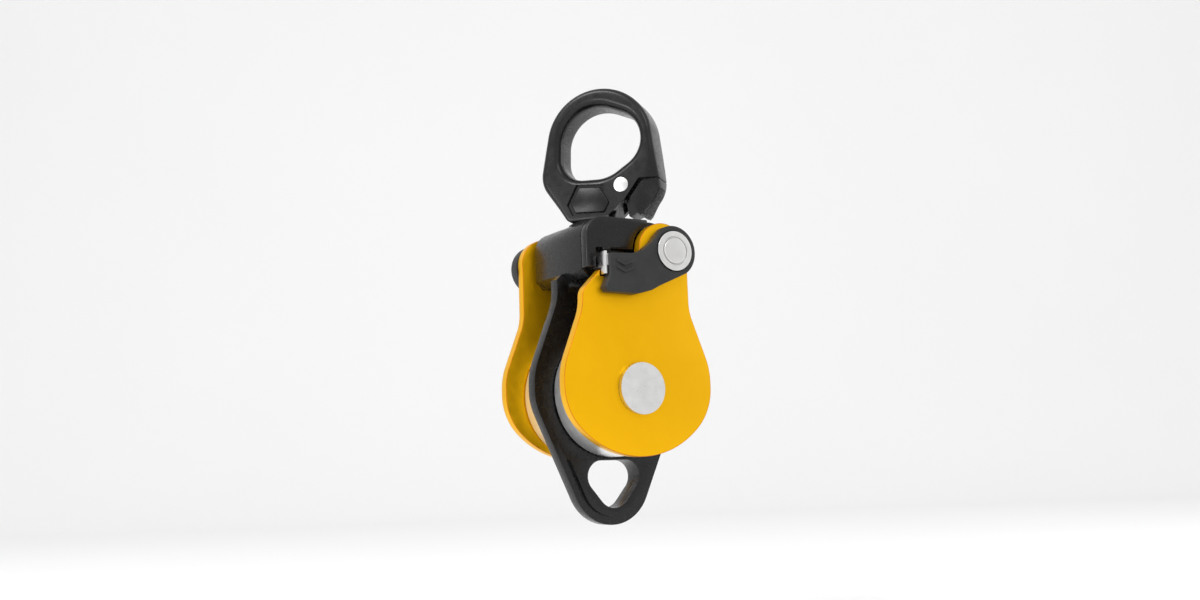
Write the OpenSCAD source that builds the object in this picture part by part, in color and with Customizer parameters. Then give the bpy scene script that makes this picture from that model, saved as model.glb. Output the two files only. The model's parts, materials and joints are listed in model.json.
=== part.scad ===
// Double rope pulley with a swivel eye, two opening side plates and a lower attachment eye.
// The frame is the swivel eye's: origin at the middle of the eye, +Z up, the sheave axle along Y.
// The front side is -Y. The rear side is the front side turned half a turn about Z.

/* [Sheaves] */
// Diameter over the sheave's flanges
sheave_d = 51; // [44:1:62]
// Diameter of the rope path at the bottom of the groove
tread_d = 40; // [34:1:42]
// Width of one sheave over its flanges
sheave_w = 17.5; // [15:0.5:22]
// Radius of the rope groove
groove_r = 7; // [5:0.5:7.5]
// Gap between a sheave and the plates beside it
side_gap = 1; // [0.6:0.1:2]

/* [Axle and bearings] */
// Diameter of the axle
axle_d = 12; // [10:1:14]
// Diameter of the axle's heads
axle_head_d = 20; // [18:1:26]
// Height of the axle's heads
axle_head_h = 2; // [1.5:0.25:3]
// Outer diameter of each ball bearing
bearing_d = 28; // [26:1:32]
// Width of each ball bearing
bearing_w = 8; // [7:0.5:10]
// Diameter of the balls
ball_d = 4.6; // [3.6:0.1:5]

/* [Plates] */
// Thickness of the side plates
plate_t = 4; // [3:0.25:5]
// Thickness of the centre plate
web_t = 5; // [4:0.25:7]
// How far the plates stand out past the sheave's flange
plate_margin = 8; // [6:0.5:10]
// Half width of the plates at their neck
neck_w = 24.5; // [22:0.5:27]

/* [Head] */
// Clear height for the rope between sheave and head
rope_window = 18.5; // [16:0.5:24]
// Width of the head across the plates' faces
head_w = 40.4; // [36:0.2:46]
// Height of the head
head_h = 23.5; // [22:0.5:28]
// Gap between the head and each side plate
head_gap = 3.4; // [2.8:0.1:4.4]
// Thickness of the latch keepers
keeper_t = 4.2; // [3.6:0.1:5]

/* [Lower eye] */
// Height of the lower eye below the sheaves
becket_drop = 26.5; // [24:0.5:32]
// Radius of the lower eye's outside
becket_r = 17.8; // [16:0.2:20]
// Width of the lower eye's hole
becket_hole_w = 24; // [20:0.5:25]
// Height of the lower eye's hole
becket_hole_h = 18.8; // [16:0.2:19]
// Thickness of the lower eye
becket_t = 8.6; // [7:0.2:9]

/* [Latch levers] */
// Thickness of the levers
lever_t = 4.6; // [4:0.2:6]
// Distance from the lever's pivot to its tip
lever_l = 30; // [28:0.5:32]
// Diameter of the lever's bright pivot head
lever_rivet_d = 15.8; // [13:0.2:17]

/* [Swivel eye] */
// Thickness of the swivel eye
eye_t = 16; // [14:0.5:18]
// Height from the swivel's underside to the middle of its hole
eye_rise = 32.4; // [31.5:0.1:34]
// Gap between the head and the swivel
swivel_gap = 2.4; // [2:0.1:4]
// Angle that the swivel eye is turned to, about Z
swivel_turn = -50; // [-180:5:180]
// Diameter of the swivel's stud
stud_d = 12; // [10:1:13]
// Diameter of the threaded collar
collar_d = 25; // [24:0.5:28]

/* [Hidden] */
$fn = 64;
eps = 0.01;
// Running clearances: a shaft in its bore, two sliding faces, and parts that pass each other
fit = 0.05;
slide = 0.15;
pass = 0.4;

black = [0.16, 0.165, 0.17];
plastic = [0.2, 0.2, 0.21];
yellow = [0.98, 0.74, 0.08];
bright = [0.86, 0.87, 0.88];
steel = [0.72, 0.73, 0.75];
rubber = [0.07, 0.07, 0.07];

// Depths, from the middle plane out
sheave_r = sheave_d / 2;
sheave_in = web_t / 2 + side_gap;
sheave_out = sheave_in + sheave_w;
plate_in = sheave_out + side_gap;
plate_out = plate_in + plate_t;
sheave_mid = (sheave_in + sheave_out) / 2;
head_out = plate_in - head_gap;
keeper_out = head_out + keeper_t;

// Heights, from the axle up
head_low = sheave_r + rope_window;
head_top = head_low + head_h;
swivel_low = head_top + swivel_gap;
axle_z = -(swivel_low + eye_rise);

// Outline of the plates
plate_w = sheave_r + plate_margin;
plate_low = sheave_r + 0.5;
side_r = plate_w - 11;
side_z = 1;
shoulder_r = plate_w - 7;
shoulder_z = 3;
shoulder_a = 21.5;
bottom_k = plate_low + side_z;
bottom_r = (pow(plate_w - side_r, 2) + bottom_k * bottom_k - side_r * side_r) / (2 * (bottom_k - side_r));
shoulder_x = plate_w - shoulder_r + shoulder_r * cos(shoulder_a);
shoulder_top = shoulder_z + shoulder_r * sin(shoulder_a);
neck_z = shoulder_top + (shoulder_x - neck_w) / tan(shoulder_a);
neck_r = 20;

// The centre plate is a little narrower at its neck, and its lower sides run into the oval
web_neck_w = neck_w - 2.4;
web_neck_z = neck_z + (neck_w - web_neck_w) / tan(shoulder_a);
web_low_z = -8.5;

// Head profile
head_x = head_w / 2;
head_corner = 8;
head_step = 3;
recess_r = 16.4;
recess_h = 1.4;

// Lever pivot and latch
lever_x = 15.2;
lever_z = head_low + 9.9;
// Rounded top of the side plate, behind the lever's pivot
boss_x = lever_x - 1.9;
boss_z = lever_z + 0.7;
boss_r = 11.3;
lever_in = plate_out + 0.3;
lever_out = lever_in + lever_t;
lever_head_r = 10.2;
lever_rivet_r = 4;
// The pivot's blind seat leaves a thin floor in the side plate
rivet_in = plate_in + 0.8;
tip_x = lever_x - lever_l;
tip_top = lever_z - 2.2;
tip_low = lever_z - 17.4;
catch_t = 1;
catch_x = tip_x - catch_t - 0.5;
catch_low = tip_top - 8.2;
press_a = 6;
press_drop = lever_l * sin(press_a);
leg_w = 4.3;
tongue_x0 = -head_x + leg_w + 0.7;
tongue_x1 = tongue_x0 + 1.8;
tongue_low = tip_top - 4.9;
tongue_top = tip_top - 0.5;
tongue_in = head_out + 0.6;
slot_x = tongue_x0 - 1.1;
slot_low = tongue_low - press_drop - 0.6;
arm_low = tip_top + 3.3;
tooth_low = norm([tongue_x0, tongue_top]) + 0.5;

// Lower eye
becket_z = -(sheave_r + becket_drop - becket_r);
becket_a = 24.7;
becket_edge = 3.2;
becket_top = -(sheave_r + 0.1);
hole_top = becket_top - 1;
hole_low = hole_top - becket_hole_h;
hole_r = 6.4;
hole_point_r = 7.6;

// Bearings
race_t = 2.2;
axle_r = axle_d / 2;
bearing_r = bearing_d / 2;
ball_ring_r = (axle_r + bearing_r) / 2;
ball_n = 9;
ball_gap = 0.04;
spacer_r = axle_r + 2.6;
shield_t = 0.5;
hub_lip_r = bearing_r - 1.4;

// Swivel stack, heights from the axle
stud_r = stud_d / 2;
collar_r = collar_d / 2;
chamber_low = head_low + 8.5;
flange_r = 9.5;
flange_low = chamber_low + 0.4;
flange_h = 3.6;
race_h = 1.5;
thrust_ball_d = 3;
thrust_ring_r = 8.2;
thrust_n = 14;
race_low = flange_low + flange_h;
balls_z = race_low + race_h + thrust_ball_d / 2;
race_high = balls_z + thrust_ball_d / 2;
collar_low = race_high + race_h;
collar_top = head_top + swivel_gap - 0.6;
seal_h = 1.6;
stud_top = swivel_low + 10;

// Swivel eye outline, in the eye's own plane: x across, y up from the axle
base_y = swivel_low;
eye_y = base_y + eye_rise;
rivet_x = 12.3;
rivet_y = eye_y - 19.1;
gate_r = 15.6;
hub_r = 6.2;
cheek_in = 5.2;
seam_a = 5;
gate_low_a = -60;
// The gate's heel between the cheeks, short enough to pass over the collar
heel_r = 12.2;
heel_a = -80;
gate_swing = 25;
gate_clear = 0.35;
gate_rivet_r = 3.1;

// ---------- helpers ----------

module at_axle() {
    translate([0, 0, axle_z])
        children();
}

// A flat outline drawn in X and Z, standing between two depths y0 and y1
module slab(y0, y1) {
    translate([0, y1, 0])
        rotate([90, 0, 0])
            linear_extrude(height = y1 - y0)
                children();
}

// A bar along Y between two depths
module bar(r, y0, y1) {
    translate([0, y0, 0])
        rotate([-90, 0, 0])
            cylinder(r = r, h = y1 - y0);
}

module tube(r_out, r_in, y0, y1) {
    difference() {
        bar(r_out, y0, y1);
        bar(r_in, y0 - 1, y1 + 1);
    }
}

module half_turn() {
    rotate([0, 0, 180])
        children();
}

module pie(r, a0, a1) {
    steps = 6;
    points = [for (i = [0:steps]) let (a = a0 + (a1 - a0) * i / steps) [r * cos(a), r * sin(a)]];
    polygon(concat([[0, 0]], points));
}

// ---------- plates ----------

// The oval that covers the sheave, with tapering shoulders up to the neck
module plate_oval() {
    for (side = [-1, 1]) {
        translate([side * (plate_w - side_r), side_z])
            circle(r = side_r, $fn = 128);
        translate([side * (plate_w - shoulder_r), shoulder_z])
            circle(r = shoulder_r, $fn = 128);
    }
    translate([0, bottom_r - plate_low])
        intersection() {
            circle(r = bottom_r, $fn = 160);
            polygon([
                [0, 0],
                [1.8 * (plate_w - side_r) * bottom_r / (bottom_r - side_r),
                 1.8 * (bottom_k - bottom_r) * bottom_r / (bottom_r - side_r)],
                [-1.8 * (plate_w - side_r) * bottom_r / (bottom_r - side_r),
                 1.8 * (bottom_k - bottom_r) * bottom_r / (bottom_r - side_r)]
            ]);
        }
    polygon([
        [-shoulder_x, shoulder_top],
        [shoulder_x, shoulder_top],
        [neck_w, neck_z],
        [-neck_w, neck_z]
    ]);
}

// Hollow corner where the taper runs into the neck
module neck_blend(half_w) {
    t = neck_r * tan(shoulder_a / 2);
    low_z = neck_z + (neck_w - half_w) / tan(shoulder_a);
    steps = 8;
    for (side = [-1, 1])
        polygon(concat(
            [[side * (half_w - 3), low_z], [side * (half_w - 3), low_z + t]],
            [for (i = [0:steps]) let (a = 180 + shoulder_a * i / steps)
                [side * (half_w + neck_r + neck_r * cos(a)), low_z + t + neck_r * sin(a)]],
            [[side * (half_w - 3 + 2 * t * sin(shoulder_a)), low_z - t * cos(shoulder_a)]]
        ));
}

module side_plate_outline() {
    difference() {
        union() {
            plate_oval();
            neck_blend(neck_w);
            translate([boss_x, boss_z])
                circle(r = boss_r);
            polygon([
                [-neck_w, neck_z - eps],
                [neck_w, neck_z - eps],
                [boss_x + boss_r * cos(10), boss_z - boss_r * sin(10)],
                [boss_x, boss_z],
                [boss_x - boss_r, boss_z],
                [-2, tongue_low + 4],
                [slot_x - 0.4, tongue_low - 1.6],
                [-neck_w, tongue_low - 9.5]
            ]);
        }
        // Room for the catch's tongue
        translate([slot_x, slot_low])
            square([tongue_x1 + 2.4 - slot_x, 12]);
    }
}

module side_plate() {
    at_axle()
        difference() {
            slab(-plate_out, -plate_in)
                side_plate_outline();
            bar(axle_r + fit, -plate_out - 1, -plate_in + 1);
            translate([lever_x, 0, lever_z])
                bar(lever_rivet_r, -plate_out - 1, -rivet_in);
        }
}

module front_side_plate() {
    color(yellow)
        side_plate();
}

module rear_side_plate() {
    color(yellow)
        half_turn()
            side_plate();
}

// ---------- main frame ----------

module head_outline() {
    for (side = [-1, 1])
        translate([side * (head_x - head_corner), head_top - head_corner])
            circle(r = head_corner);
    translate([-head_x, head_low + head_step])
        square([head_w, head_h - head_step - head_corner]);
    translate([-head_x + head_corner, head_low + head_step])
        square([head_w - 2 * head_corner, head_h - head_step]);
    polygon([
        [-head_x, head_low + head_step + eps],
        [-head_x + head_step, head_low],
        [head_x - head_step, head_low],
        [head_x, head_low + head_step + eps]
    ]);
}

module becket_outline(edge) {
    r = becket_r - edge;
    top_z = becket_top - edge / 8;
    tip_xz = [r * cos(becket_a), becket_z - r * sin(becket_a)];
    rise = top_z - tip_xz[1];
    intersection() {
        translate([0, becket_z])
            circle(r = r);
        translate([-r, becket_z - r])
            square([2 * r, top_z - becket_z + r]);
    }
    polygon([
        [-tip_xz[0], tip_xz[1]],
        [tip_xz[0], tip_xz[1]],
        [tip_xz[0] + rise * tan(becket_a), top_z],
        [-tip_xz[0] - rise * tan(becket_a), top_z]
    ]);
}

module web_outline() {
    r = becket_r;
    tip_xz = [r * cos(becket_a), becket_z - r * sin(becket_a)];
    rise = web_low_z - tip_xz[1];
    plate_oval();
    neck_blend(web_neck_w);
    polygon([
        [-neck_w, neck_z - eps],
        [neck_w, neck_z - eps],
        [web_neck_w, web_neck_z],
        [web_neck_w, head_low + 1],
        [head_x - 1, head_low + 4],
        [-head_x + 1, head_low + 4],
        [-web_neck_w, head_low + 1],
        [-web_neck_w, web_neck_z]
    ]);
    translate([0, becket_z])
        circle(r = r);
    polygon([
        [-tip_xz[0], tip_xz[1]],
        [tip_xz[0], tip_xz[1]],
        [tip_xz[0] + rise * tan(becket_a), web_low_z],
        [-tip_xz[0] - rise * tan(becket_a), web_low_z]
    ]);
}

module becket_hole() {
    hull() {
        for (side = [-1, 1])
            translate([side * (becket_hole_w / 2 - hole_r), hole_top - hole_r])
                circle(r = hole_r, $fn = 48);
        translate([0, hole_low + hole_point_r])
            circle(r = hole_point_r, $fn = 48);
    }
}

// Rounded hollow between the centre plate and the underside of the head
module root_fillet(r) {
    difference() {
        translate([-head_x + head_step, -web_t / 2 - r, head_low - r])
            cube([head_w - 2 * head_step, web_t + 2 * r, r + 1]);
        for (side = [-1, 1])
            translate([-head_w, side * (web_t / 2 + r), head_low - r])
                rotate([0, 90, 0])
                    cylinder(r = r, h = 2 * head_w);
    }
}

module main_frame() {
    color(black)
        at_axle()
            difference() {
                union() {
                    slab(-web_t / 2, web_t / 2)
                        web_outline();
                    slab(-becket_t / 2, becket_t / 2)
                        becket_outline(becket_edge);
                    slab(-head_out, head_out)
                        head_outline();
                    root_fillet(4);
                }
                bar(axle_r, -web_t, web_t);
                slab(-becket_t, becket_t)
                    becket_hole();
                translate([0, 0, chamber_low])
                    cylinder(r = collar_r, h = head_h);
                translate([0, 0, head_top - recess_h])
                    cylinder(r = recess_r, h = recess_h + 1);
                keeper_pin_holes();
            }
}

// ---------- keepers ----------

keeper_pin_r = 1.5;
keeper_pin_l = 5;
keeper_pin_at = [[-head_x + 5, head_top - 5.6], [-head_x + 17, head_top - 5.6]];

module keeper_pin_holes() {
    for (turn = [0, 180])
        rotate([0, 0, turn])
            for (spot = keeper_pin_at)
                translate([spot[0], 0, spot[1]])
                    bar(keeper_pin_r, -head_out - eps, -head_out + keeper_pin_l / 2);
}

module keeper_outline() {
    end_x = boss_x - boss_r;
    difference() {
        head_outline();
        translate([-head_x + leg_w, -10])
            square([head_w, arm_low + 10]);
        translate([-head_x - 1, -10])
            square([head_w, head_low + head_step + 10]);
        translate([boss_x, boss_z])
            circle(r = boss_r + 2 * pass);
        translate([end_x + 6.5, arm_low - 1])
            square([head_w, head_h]);
    }
    // Tooth beside the catch's tongue
    translate([tongue_x1 + 0.8, tooth_low])
        square([3.4, arm_low - tooth_low + 1]);
}

module keeper() {
    at_axle()
        difference() {
            slab(-keeper_out, -head_out)
                keeper_outline();
            for (spot = keeper_pin_at)
                translate([spot[0], 0, spot[1]])
                    bar(keeper_pin_r, -head_out - keeper_pin_l / 2, -head_out + eps);
        }
}

module front_keeper() {
    color(black)
        keeper();
}

module rear_keeper() {
    color(black)
        half_turn()
            keeper();
}

module keeper_pins() {
    color(steel)
        at_axle()
            for (turn = [0, 180])
                rotate([0, 0, turn])
                    for (spot = keeper_pin_at)
                        translate([spot[0], 0, spot[1]])
                            bar(keeper_pin_r, -head_out - keeper_pin_l / 2, -head_out + keeper_pin_l / 2);
}

// ---------- axle ----------

axle_end = plate_out + 0.1;

module axle() {
    color(bright)
        at_axle() {
            bar(axle_r, -axle_end, axle_end);
            bar(axle_head_d / 2, -axle_end - axle_head_h, -axle_end);
        }
}

module axle_cap() {
    color(bright)
        at_axle()
            bar(axle_head_d / 2, axle_end, axle_end + axle_head_h);
}

// ---------- sheaves ----------

module sheave() {
    groove_z = tread_d / 2 + groove_r;
    at_axle()
        difference() {
            bar(sheave_r, -sheave_out, -sheave_in);
            translate([0, -sheave_mid, 0])
                rotate([90, 0, 0])
                    rotate_extrude($fn = 128)
                        translate([groove_z, 0])
                            circle(r = groove_r);
            bar(hub_lip_r, -sheave_out - 1, -sheave_in + 1);
            bar(bearing_r, -sheave_mid - bearing_w / 2, -sheave_in + 1);
            for (face = [-sheave_out - 1, -sheave_in - 1.2])
                tube(tread_d / 2 - 1.2, bearing_r + 1.6, face, face + 2.2);
        }
}

module outer_race() {
    at_axle()
        difference() {
            tube(bearing_r, bearing_r - race_t, -sheave_mid - bearing_w / 2, -sheave_mid + bearing_w / 2);
            ball_track();
        }
}

module inner_race() {
    at_axle()
        difference() {
            tube(axle_r + race_t, axle_r, -sheave_mid - bearing_w / 2, -sheave_mid + bearing_w / 2);
            ball_track();
        }
}

module ball_track() {
    translate([0, -sheave_mid, 0])
        rotate([90, 0, 0])
            rotate_extrude($fn = 96)
                translate([ball_ring_r, 0])
                    circle(r = ball_d / 2 + ball_gap, $fn = 48);
}

module balls() {
    at_axle()
        for (i = [0:ball_n - 1])
            rotate([0, i * 360 / ball_n, 0])
                translate([ball_ring_r, -sheave_mid, 0])
                    sphere(d = ball_d, $fn = 32);
}

module cage() {
    at_axle()
        difference() {
            tube(ball_ring_r + 0.7, ball_ring_r - 0.7, -sheave_mid - 3, -sheave_mid + 3);
            for (i = [0:ball_n - 1])
                rotate([0, i * 360 / ball_n, 0])
                    translate([ball_ring_r - 2, -sheave_mid, 0])
                        rotate([0, 90, 0])
                            cylinder(d = ball_d + 4 * ball_gap, h = 4);
        }
}

module shields() {
    at_axle()
        for (side = [-1, 1]) {
            y_mid = -sheave_mid + side * (bearing_w / 2 - shield_t / 2 - 0.2);
            tube(bearing_r - race_t, axle_r + race_t + 0.2, y_mid - shield_t / 2, y_mid + shield_t / 2);
        }
}

module spacers() {
    at_axle() {
        tube(spacer_r, axle_r, -plate_in, -sheave_mid - bearing_w / 2);
        tube(spacer_r, axle_r, -sheave_mid + bearing_w / 2, -web_t / 2);
    }
}

module front_sheave() {
    color(bright)
        sheave();
}

module front_outer_race() {
    color(steel)
        outer_race();
}

module front_inner_race() {
    color(steel)
        inner_race();
}

module front_balls() {
    color(bright)
        balls();
}

module front_cage() {
    color(steel)
        cage();
}

module front_shields() {
    color(rubber)
        shields();
}

module front_spacers() {
    color(steel)
        spacers();
}

module rear_sheave() {
    color(bright)
        half_turn()
            sheave();
}

module rear_outer_race() {
    color(steel)
        half_turn()
            outer_race();
}

module rear_inner_race() {
    color(steel)
        half_turn()
            inner_race();
}

module rear_balls() {
    color(bright)
        half_turn()
            balls();
}

module rear_cage() {
    color(steel)
        half_turn()
            cage();
}

module rear_shields() {
    color(rubber)
        half_turn()
            shields();
}

module rear_spacers() {
    color(steel)
        half_turn()
            spacers();
}

// ---------- latch levers ----------

spring_r = 5.6;
spring_wire = 0.6;
spring_y = lever_in + 1.6;

module lever_outline() {
    translate([lever_x, lever_z])
        circle(r = lever_head_r);
    polygon([
        [lever_x, lever_z + lever_head_r * 0.98],
        [lever_x - 7.2, lever_z + 6.6],
        [lever_x - 14.6, lever_z - 0.6],
        [lever_x - 19.4, tip_top],
        [tip_x + 1, tip_top],
        [tip_x, tip_top - 1],
        [tip_x, tip_low + 6.5],
        [tip_x - 2.4, tip_low + 2],
        [tip_x - 0.6, tip_low],
        [lever_x - 17.7, tip_low],
        [lever_x - 11, tip_low + 1.6],
        [lever_x - 7.3, tip_low + 3.6],
        [lever_x + 6, lever_z - 8.2]
    ]);
}

module lever() {
    at_axle()
        difference() {
            slab(-lever_out, -lever_in)
                lever_outline();
            translate([lever_x, 0, lever_z]) {
                bar(lever_rivet_r + fit, -lever_out - 1, -lever_in + 1);
                bar(lever_rivet_d / 2 + slide, -lever_out - 1, -lever_out + 1.2);
                bar(spring_r + 1.2, -spring_y - 0.8, -lever_in + 1);
            }
            translate([tip_x - 5, -lever_out - 1, tongue_low - 0.6])
                cube([tongue_x1 + 0.4 - tip_x + 5, 2.2 + lever_t, tip_top]);
        }
}

// Bent steel strip: a wall over the lever's tip, and a tongue that reaches in under the keeper
module catch_strip() {
    wall_in = lever_in + 0.2;
    at_axle() {
        translate([catch_x, -lever_out + 1.2, catch_low])
            cube([catch_t, lever_out - 1.2 - wall_in, tip_top + 0.6 - catch_low]);
        translate([catch_x, -lever_out + 1.2, tongue_top - catch_t])
            cube([tongue_x1 - catch_x, lever_out - 1.2 - wall_in, catch_t]);
        translate([tongue_x0, -lever_out + 1.2, tongue_low])
            cube([tongue_x1 - tongue_x0, lever_out - 1.2 - tongue_in, tongue_top - tongue_low]);
    }
}

module lever_rivet() {
    at_axle()
        translate([lever_x, 0, lever_z]) {
            bar(lever_rivet_r, -lever_out, -rivet_in);
            bar(lever_rivet_d / 2, -lever_out - 0.8, -lever_out + 1.0);
        }
}

module lever_spring() {
    at_axle()
        translate([lever_x, -spring_y, lever_z])
            for (i = [0:1])
                translate([0, i * 2 * spring_wire, 0])
                    rotate([90, 0, 0])
                        rotate_extrude($fn = 48)
                            translate([spring_r - spring_wire, 0])
                                circle(r = spring_wire, $fn = 16);
}

module front_lever() {
    color(plastic)
        lever();
}

module front_catch() {
    color(bright)
        catch_strip();
}

module front_lever_rivet() {
    color(bright)
        lever_rivet();
}

module front_lever_spring() {
    color(steel)
        lever_spring();
}

module rear_lever() {
    color(plastic)
        half_turn()
            lever();
}

module rear_catch() {
    color(bright)
        half_turn()
            catch_strip();
}

module rear_lever_rivet() {
    color(bright)
        half_turn()
            lever_rivet();
}

module rear_lever_spring() {
    color(steel)
        half_turn()
            lever_spring();
}

// ---------- swivel ----------

module turned() {
    rotate([0, 0, swivel_turn])
        at_axle()
            children();
}

module eye_outside() {
    hull() {
        translate([3.2, eye_y])
            circle(r = 22.5, $fn = 64);
        translate([-10.4, base_y + 20])
            circle(r = 12.4, $fn = 48);
        translate([15.6, base_y + 14.4])
            circle(r = 12.4, $fn = 48);
        translate([-8.4, base_y + 3])
            circle(r = 3, $fn = 32);
        translate([17.5, base_y + 5.4])
            circle(r = 5.4, $fn = 32);
    }
}

module eye_hole() {
    hull() {
        translate([2, eye_y])
            circle(r = 15.1, $fn = 64);
        translate([8.2, eye_y + 0.5])
            circle(r = 12.2, $fn = 48);
        translate([-4, eye_y - 5.6])
            circle(r = 9.3, $fn = 48);
    }
}

module eye_outline() {
    difference() {
        eye_outside();
        eye_hole();
    }
}

// Everything right of the slanting edge where the front and rear faces end
module face_cut() {
    polygon([
        [6.6, base_y - 5],
        [6.6, base_y + 2],
        [13.6, base_y + 7],
        [20.2, base_y + 15.3],
        [24, base_y + 21.5],
        [24.6, base_y + 27],
        [40, base_y + 27],
        [40, base_y - 5]
    ]);
}

// The gate's own outline round its rivet: a hub and the chin from the seam down
module gate_shape() {
    intersection() {
        eye_outline();
        translate([rivet_x, rivet_y])
            union() {
                circle(r = hub_r);
                intersection() {
                    circle(r = gate_r, $fn = 96);
                    pie(3 * gate_r, gate_low_a, seam_a);
                }
                intersection() {
                    circle(r = heel_r, $fn = 96);
                    pie(3 * gate_r, heel_a, gate_low_a + 1);
                }
            }
    }
}

// The room that the gate needs over its whole swing
module gate_room() {
    translate([rivet_x, rivet_y]) {
        circle(r = hub_r + gate_clear);
        pie(4 * gate_r, heel_a - gate_swing - 3, seam_a + 2);
    }
}

module swivel_body() {
    half = eye_t / 2;
    color(black)
        turned()
            difference() {
                union() {
                    // Middle layer
                    slab(-cheek_in, cheek_in)
                        difference() {
                            eye_outline();
                            gate_room();
                        }
                    // Front and rear cheeks
                    for (face = [-half, cheek_in])
                        slab(face, face + half - cheek_in)
                            difference() {
                                eye_outline();
                                face_cut();
                            }
                }
                translate([0, 0, base_y - 1])
                    cylinder(r = stud_r, h = stud_top - base_y + 1);
                translate([rivet_x, 0, rivet_y])
                    bar(gate_rivet_r, -eye_t, eye_t);
                stud_pin_bar(1);
            }
}

module swivel_gate() {
    color(black)
        turned()
            difference() {
                slab(-cheek_in + slide, cheek_in - slide)
                    gate_shape();
                translate([rivet_x, 0, rivet_y])
                    bar(gate_rivet_r + fit, -eye_t, eye_t);
                screw_line()
                    translate([0, 0, screw_in])
                        cylinder(r = screw_r, h = gate_r);
            }
}

module gate_rivet() {
    color(bright)
        turned()
            translate([rivet_x, 0, rivet_y])
                bar(gate_rivet_r, -eye_t / 2, eye_t / 2);
}

screw_r = 1.9;
screw_a = -36;
screw_in = 7.5;
screw_out = 13.6;

// Line from the rivet out through the chin
module screw_line() {
    translate([rivet_x, 0, rivet_y])
        rotate([0, 90 - screw_a, 0])
            children();
}

module gate_screw() {
    color(steel)
        turned()
            screw_line()
                difference() {
                    translate([0, 0, screw_in])
                        cylinder(r = screw_r, h = screw_out - screw_in);
                    translate([0, 0, screw_out - 2])
                        cylinder(r = 1.1, h = 3, $fn = 6);
                }
}

module swivel_stud() {
    color(steel)
        turned()
            difference() {
                union() {
                    translate([0, 0, flange_low])
                        cylinder(r = flange_r, h = flange_h);
                    translate([0, 0, flange_low])
                        cylinder(r = stud_r, h = stud_top - flange_low);
                }
                stud_pin_bar(2);
            }
}

stud_pin_r = 1.5;
stud_pin_y0 = -eye_t / 2 + 1.6;
stud_pin_y1 = eye_t / 2 - 0.5;

// The pin's blind bore, open at the rear
module stud_pin_bar(extra) {
    translate([0, 0, base_y + 6])
        bar(stud_pin_r, stud_pin_y0, stud_pin_y1 + extra);
}

module stud_pin() {
    color(steel)
        turned()
            translate([0, 0, base_y + 6])
                bar(stud_pin_r, stud_pin_y0, stud_pin_y1);
}

module washer_ring(r_out, r_in, z0, h) {
    translate([0, 0, z0])
        difference() {
            cylinder(r = r_out, h = h);
            translate([0, 0, -1])
                cylinder(r = r_in, h = h + 2);
        }
}

module thrust_track() {
    translate([0, 0, balls_z])
        rotate_extrude($fn = 96)
            translate([thrust_ring_r, 0])
                circle(r = thrust_ball_d / 2 + ball_gap, $fn = 32);
}

module lower_thrust_race() {
    color(steel)
        turned()
            difference() {
                washer_ring(thrust_ring_r + 2.2, stud_r, race_low, race_h + 0.4);
                thrust_track();
            }
}

module upper_thrust_race() {
    color(steel)
        at_axle()
            difference() {
                washer_ring(thrust_ring_r + 2.6, stud_r + 0.4, race_high - 0.4, race_h + 0.4);
                thrust_track();
            }
}

module thrust_balls() {
    color(bright)
        at_axle()
            for (i = [0:thrust_n - 1])
                rotate([0, 0, i * 360 / thrust_n])
                    translate([thrust_ring_r, 0, balls_z])
                        sphere(d = thrust_ball_d, $fn = 24);
}

module thrust_cage() {
    color(steel)
        at_axle()
            difference() {
                washer_ring(thrust_ring_r + 1.9, thrust_ring_r - 1.9, balls_z - 0.5, 1);
                for (i = [0:thrust_n - 1])
                    rotate([0, 0, i * 360 / thrust_n])
                        translate([thrust_ring_r, 0, balls_z - 2])
                            cylinder(d = thrust_ball_d + 0.1, h = 4);
            }
}

module bearing_collar() {
    color(black)
        at_axle()
            difference() {
                washer_ring(collar_r, stud_r + 0.5, collar_low, collar_top - collar_low);
                translate([0, 0, collar_top - seal_h])
                    cylinder(r = stud_r + 2, h = seal_h + 1);
            }
}

module stud_seal() {
    color(rubber)
        at_axle()
            washer_ring(stud_r + 2, stud_r + fit, collar_top - seal_h, seal_h);
}

// ---------- the whole pulley ----------

swivel_body();
swivel_gate();
gate_rivet();
gate_screw();
swivel_stud();
stud_pin();
lower_thrust_race();
upper_thrust_race();
thrust_balls();
thrust_cage();
bearing_collar();
stud_seal();
main_frame();
front_keeper();
rear_keeper();
keeper_pins();
axle();
axle_cap();
front_side_plate();
rear_side_plate();
front_sheave();
front_outer_race();
front_inner_race();
front_balls();
front_cage();
front_shields();
front_spacers();
rear_sheave();
rear_outer_race();
rear_inner_race();
rear_balls();
rear_cage();
rear_shields();
rear_spacers();
front_lever();
front_catch();
front_lever_rivet();
front_lever_spring();
rear_lever();
rear_catch();
rear_lever_rivet();
rear_lever_spring();
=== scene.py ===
"""Looks of the double rope pulley: refined meshes, finishes, floor, light and camera."""
from __future__ import annotations

import json
import logging
import math
from collections.abc import Callable, Iterable
from dataclasses import dataclass, field
from enum import Enum

import bmesh
import bpy
from mathutils import Matrix, Vector

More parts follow.
